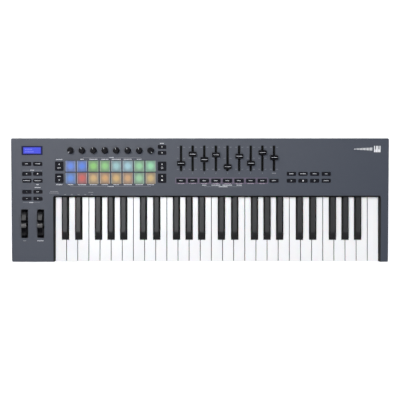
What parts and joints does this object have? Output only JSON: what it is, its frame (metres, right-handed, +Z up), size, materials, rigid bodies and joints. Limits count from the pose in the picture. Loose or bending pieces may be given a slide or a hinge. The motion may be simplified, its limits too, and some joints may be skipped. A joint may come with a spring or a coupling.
{
  "type": "midi keyboard controller",
  "caption": "Flat desktop MIDI keyboard: piano keys under a sloping control panel with lit drum pads, knobs, faders, buttons, a small display and two side wheels.",
  "frame": {"origin": "centre of the casing's footprint, on the table the feet stand on", "axes": "+X to the player's right, along the row of keys; +Y away from the player, towards the sockets; +Z up"},
  "size_m": [0.79, 0.259, 0.0773],
  "materials": {
    "casing_upper": "fine matt texture, slate grey",
    "casing_lower": "fine matt texture, near black",
    "rubber_foot": "matt",
    "screw_steel": "zinc plated",
    "frame_plastic": "black moulding",
    "felt": "red felt",
    "spring_steel": "bright",
    "circuit_board": "green solder mask",
    "contact_rubber": "grey silicone",
    "pot_body": "dark grey",
    "display_glass": "clear window",
    "display_panel": "blue backlit panel",
    "socket_plastic": "black",
    "socket_metal": "tinned steel",
    "cable_grey": "grey ribbon",
    "white_key": "polished white",
    "black_key": "satin black",
    "button_rubber": "matt dark grey",
    "pad_rubber": "translucent, lit in several colours",
    "knob_plastic": "satin black",
    "fader_plastic": "satin black",
    "wheel_rubber": "soft-touch dark grey"
  },
  "bodies": {
    "casing": {"top_case": "casing_upper", "bottom_case": "casing_lower", "rubber_feet": "rubber_foot", "screws": "screw_steel", "key_frame": "frame_plastic", "key_felts": "felt", "key_springs": "spring_steel", "key_contact_board": "circuit_board", "key_contact_strips": "contact_rubber", "control_board": "circuit_board", "rotary_pots": "pot_body", "slide_pots": "pot_body", "display_window": "display_glass", "display_module": "display_panel", "wheel_bracket": "frame_plastic", "io_board": "circuit_board", "pedal_jacks": "socket_plastic", "midi_socket": "socket_plastic", "usb_socket": "socket_metal", "ribbon_cables": "cable_grey"},
    "octave_1_keys_c_e_g_b": {"octave_1_keys_c_e_g_b": "white_key"},
    "octave_1_keys_d_f_a": {"octave_1_keys_d_f_a": "white_key"},
    "octave_1_keys_black": {"octave_1_keys_black": "black_key"},
    "octave_2_keys_c_e_g_b": {"octave_2_keys_c_e_g_b": "white_key"},
    "octave_2_keys_d_f_a": {"octave_2_keys_d_f_a": "white_key"},
    "octave_2_keys_black": {"octave_2_keys_black": "black_key"},
    "octave_3_keys_c_e_g_b": {"octave_3_keys_c_e_g_b": "white_key"},
    "octave_3_keys_d_f_a": {"octave_3_keys_d_f_a": "white_key"},
    "octave_3_keys_black": {"octave_3_keys_black": "black_key"},
    "octave_4_keys_c_e_g_b": {"octave_4_keys_c_e_g_b": "white_key"},
    "octave_4_keys_d_f_a": {"octave_4_keys_d_f_a": "white_key"},
    "octave_4_keys_black": {"octave_4_keys_black": "black_key"},
    "menu_buttons": {"menu_buttons": "button_rubber"},
    "navigation_buttons": {"navigation_buttons": "button_rubber"},
    "octave_buttons": {"octave_buttons": "button_rubber"},
    "knob_bank_buttons": {"knob_bank_buttons": "button_rubber"},
    "pad_side_buttons": {"pad_side_buttons": "button_rubber"},
    "fader_buttons": {"fader_buttons": "button_rubber"},
    "transport_buttons": {"transport_buttons": "button_rubber"},
    "pads_upper_row": {"pads_upper_row": "pad_rubber"},
    "pads_lower_row": {"pads_lower_row": "pad_rubber"},
    "knob_1": {"knob_1": "knob_plastic"},
    "knob_2": {"knob_2": "knob_plastic"},
    "knob_3": {"knob_3": "knob_plastic"},
    "knob_4": {"knob_4": "knob_plastic"},
    "knob_5": {"knob_5": "knob_plastic"},
    "knob_6": {"knob_6": "knob_plastic"},
    "knob_7": {"knob_7": "knob_plastic"},
    "knob_8": {"knob_8": "knob_plastic"},
    "fader_1": {"fader_1": "fader_plastic"},
    "fader_2": {"fader_2": "fader_plastic"},
    "fader_3": {"fader_3": "fader_plastic"},
    "fader_4": {"fader_4": "fader_plastic"},
    "fader_5": {"fader_5": "fader_plastic"},
    "fader_6": {"fader_6": "fader_plastic"},
    "fader_7": {"fader_7": "fader_plastic"},
    "fader_8": {"fader_8": "fader_plastic"},
    "fader_9": {"fader_9": "fader_plastic"},
    "pitch_wheel": {"pitch_wheel": "wheel_rubber"},
    "modulation_wheel": {"modulation_wheel": "wheel_rubber"}
  },
  "joints": [
    {"name": "octave_1_keys_c_e_g_b_press", "type": "hinge", "parent": "casing", "child": "octave_1_keys_c_e_g_b", "pos_m": [0, 0.064, 0.03], "axis": [1, 0, 0], "range_deg": [0, 3], "stiffness_Nm_per_rad": 6, "springref_deg": -4.58},
    {"name": "octave_1_keys_d_f_a_press", "type": "hinge", "parent": "casing", "child": "octave_1_keys_d_f_a", "pos_m": [0, 0.064, 0.03], "axis": [1, 0, 0], "range_deg": [0, 3], "stiffness_Nm_per_rad": 4.5, "springref_deg": -4.58},
    {"name": "octave_1_keys_black_press", "type": "hinge", "parent": "casing", "child": "octave_1_keys_black", "pos_m": [0, 0.064, 0.03], "axis": [1, 0, 0], "range_deg": [0, 3], "stiffness_Nm_per_rad": 7.5, "springref_deg": -4.58},
    {"name": "octave_2_keys_c_e_g_b_press", "type": "hinge", "parent": "casing", "child": "octave_2_keys_c_e_g_b", "pos_m": [0, 0.064, 0.03], "axis": [1, 0, 0], "range_deg": [0, 3], "stiffness_Nm_per_rad": 6, "springref_deg": -4.58},
    {"name": "octave_2_keys_d_f_a_press", "type": "hinge", "parent": "casing", "child": "octave_2_keys_d_f_a", "pos_m": [0, 0.064, 0.03], "axis": [1, 0, 0], "range_deg": [0, 3], "stiffness_Nm_per_rad": 4.5, "springref_deg": -4.58},
    {"name": "octave_2_keys_black_press", "type": "hinge", "parent": "casing", "child": "octave_2_keys_black", "pos_m": [0, 0.064, 0.03], "axis": [1, 0, 0], "range_deg": [0, 3], "stiffness_Nm_per_rad": 7.5, "springref_deg": -4.58},
    {"name": "octave_3_keys_c_e_g_b_press", "type": "hinge", "parent": "casing", "child": "octave_3_keys_c_e_g_b", "pos_m": [0, 0.064, 0.03], "axis": [1, 0, 0], "range_deg": [0, 3], "stiffness_Nm_per_rad": 6, "springref_deg": -4.58},
    {"name": "octave_3_keys_d_f_a_press", "type": "hinge", "parent": "casing", "child": "octave_3_keys_d_f_a", "pos_m": [0, 0.064, 0.03], "axis": [1, 0, 0], "range_deg": [0, 3], "stiffness_Nm_per_rad": 4.5, "springref_deg": -4.58},
    {"name": "octave_3_keys_black_press", "type": "hinge", "parent": "casing", "child": "octave_3_keys_black", "pos_m": [0, 0.064, 0.03], "axis": [1, 0, 0], "range_deg": [0, 3], "stiffness_Nm_per_rad": 7.5, "springref_deg": -4.58},
    {"name": "octave_4_keys_c_e_g_b_press", "type": "hinge", "parent": "casing", "child": "octave_4_keys_c_e_g_b", "pos_m": [0, 0.064, 0.03], "axis": [1, 0, 0], "range_deg": [0, 3], "stiffness_Nm_per_rad": 7.5, "springref_deg": -4.58},
    {"name": "octave_4_keys_d_f_a_press", "type": "hinge", "parent": "casing", "child": "octave_4_keys_d_f_a", "pos_m": [0, 0.064, 0.03], "axis": [1, 0, 0], "range_deg": [0, 3], "stiffness_Nm_per_rad": 4.5, "springref_deg": -4.58},
    {"name": "octave_4_keys_black_press", "type": "hinge", "parent": "casing", "child": "octave_4_keys_black", "pos_m": [0, 0.064, 0.03], "axis": [1, 0, 0], "range_deg": [0, 3], "stiffness_Nm_per_rad": 7.5, "springref_deg": -4.58},
    {"name": "menu_buttons_press", "type": "slide", "parent": "casing", "child": "menu_buttons", "axis": [0, 0.0501, -0.9987], "range_m": [0, 0.001], "stiffness_N_per_m": 1000, "springref_m": -0.001},
    {"name": "navigation_buttons_press", "type": "slide", "parent": "casing", "child": "navigation_buttons", "axis": [0, 0.0501, -0.9987], "range_m": [0, 0.001], "stiffness_N_per_m": 2000, "springref_m": -0.001},
    {"name": "octave_buttons_press", "type": "slide", "parent": "casing", "child": "octave_buttons", "axis": [0, 0.0501, -0.9987], "range_m": [0, 0.001], "stiffness_N_per_m": 2000, "springref_m": -0.001},
    {"name": "knob_bank_buttons_press", "type": "slide", "parent": "casing", "child": "knob_bank_buttons", "axis": [0, 0.0501, -0.9987], "range_m": [0, 0.001], "stiffness_N_per_m": 1000, "springref_m": -0.001},
    {"name": "pad_side_buttons_press", "type": "slide", "parent": "casing", "child": "pad_side_buttons", "axis": [0, 0.0501, -0.9987], "range_m": [0, 0.001], "stiffness_N_per_m": 2000, "springref_m": -0.001},
    {"name": "fader_buttons_press", "type": "slide", "parent": "casing", "child": "fader_buttons", "axis": [0, 0.0501, -0.9987], "range_m": [0, 0.001], "stiffness_N_per_m": 4500, "springref_m": -0.001},
    {"name": "transport_buttons_press", "type": "slide", "parent": "casing", "child": "transport_buttons", "axis": [0, 0.0501, -0.9987], "range_m": [0, 0.001], "stiffness_N_per_m": 4000, "springref_m": -0.001},
    {"name": "pads_upper_row_press", "type": "slide", "parent": "casing", "child": "pads_upper_row", "axis": [0, 0.0501, -0.9987], "range_m": [0, 0.001], "stiffness_N_per_m": 8000, "springref_m": -0.001},
    {"name": "pads_lower_row_press", "type": "slide", "parent": "casing", "child": "pads_lower_row", "axis": [0, 0.0501, -0.9987], "range_m": [0, 0.001], "stiffness_N_per_m": 8000, "springref_m": -0.001},
    {"name": "knob_1_turn", "type": "hinge", "parent": "casing", "child": "knob_1", "pos_m": [-0.27055, 0.104, 0.06372], "axis": [0, -0.0501, 0.9987], "range_deg": [-290, 0]},
    {"name": "knob_2_turn", "type": "hinge", "parent": "casing", "child": "knob_2", "pos_m": [-0.24665, 0.104, 0.06372], "axis": [0, -0.0501, 0.9987], "range_deg": [-161, 129]},
    {"name": "knob_3_turn", "type": "hinge", "parent": "casing", "child": "knob_3", "pos_m": [-0.22275, 0.104, 0.06372], "axis": [0, -0.0501, 0.9987], "range_deg": [-159, 131]},
    {"name": "knob_4_turn", "type": "hinge", "parent": "casing", "child": "knob_4", "pos_m": [-0.19885, 0.104, 0.06372], "axis": [0, -0.0501, 0.9987], "range_deg": [-163, 127]},
    {"name": "knob_5_turn", "type": "hinge", "parent": "casing", "child": "knob_5", "pos_m": [-0.17495, 0.104, 0.06372], "axis": [0, -0.0501, 0.9987], "range_deg": [-159, 131]},
    {"name": "knob_6_turn", "type": "hinge", "parent": "casing", "child": "knob_6", "pos_m": [-0.15105, 0.104, 0.06372], "axis": [0, -0.0501, 0.9987], "range_deg": [-161, 129]},
    {"name": "knob_7_turn", "type": "hinge", "parent": "casing", "child": "knob_7", "pos_m": [-0.12715, 0.104, 0.06372], "axis": [0, -0.0501, 0.9987], "range_deg": [-159, 131]},
    {"name": "knob_8_turn", "type": "hinge", "parent": "casing", "child": "knob_8", "pos_m": [-0.10325, 0.104, 0.06372], "axis": [0, -0.0501, 0.9987], "range_deg": [0, 290]},
    {"name": "fader_1_slide", "type": "slide", "parent": "casing", "child": "fader_1", "axis": [0, 0.9987, 0.0501], "range_m": [-0.012, 0.033]},
    {"name": "fader_2_slide", "type": "slide", "parent": "casing", "child": "fader_2", "axis": [0, 0.9987, 0.0501], "range_m": [-0.0313, 0.0137]},
    {"name": "fader_3_slide", "type": "slide", "parent": "casing", "child": "fader_3", "axis": [0, 0.9987, 0.0501], "range_m": [-0.0199, 0.0251]},
    {"name": "fader_4_slide", "type": "slide", "parent": "casing", "child": "fader_4", "axis": [0, 0.9987, 0.0501], "range_m": [-0.0301, 0.0149]},
    {"name": "fader_5_slide", "type": "slide", "parent": "casing", "child": "fader_5", "axis": [0, 0.9987, 0.0501], "range_m": [-0.0051, 0.0399]},
    {"name": "fader_6_slide", "type": "slide", "parent": "casing", "child": "fader_6", "axis": [0, 0.9987, 0.0501], "range_m": [-0.027, 0.018]},
    {"name": "fader_7_slide", "type": "slide", "parent": "casing", "child": "fader_7", "axis": [0, 0.9987, 0.0501], "range_m": [-0.0124, 0.0326]},
    {"name": "fader_8_slide", "type": "slide", "parent": "casing", "child": "fader_8", "axis": [0, 0.9987, 0.0501], "range_m": [-0.0345, 0.0105]},
    {"name": "fader_9_slide", "type": "slide", "parent": "casing", "child": "fader_9", "axis": [0, 0.9987, 0.0501], "range_m": [-0.0241, 0.0209]},
    {"name": "pitch_wheel_turn", "type": "hinge", "parent": "casing", "child": "pitch_wheel", "pos_m": [-0.36785, -0.0492, 0.04103], "axis": [1, 0, 0], "range_deg": [-38, 38], "stiffness_Nm_per_rad": 0.15},
    {"name": "modulation_wheel_turn", "type": "hinge", "parent": "casing", "child": "modulation_wheel", "pos_m": [-0.33415, -0.0492, 0.04103], "axis": [1, 0, 0], "range_deg": [-38, 38]}
  ]
}
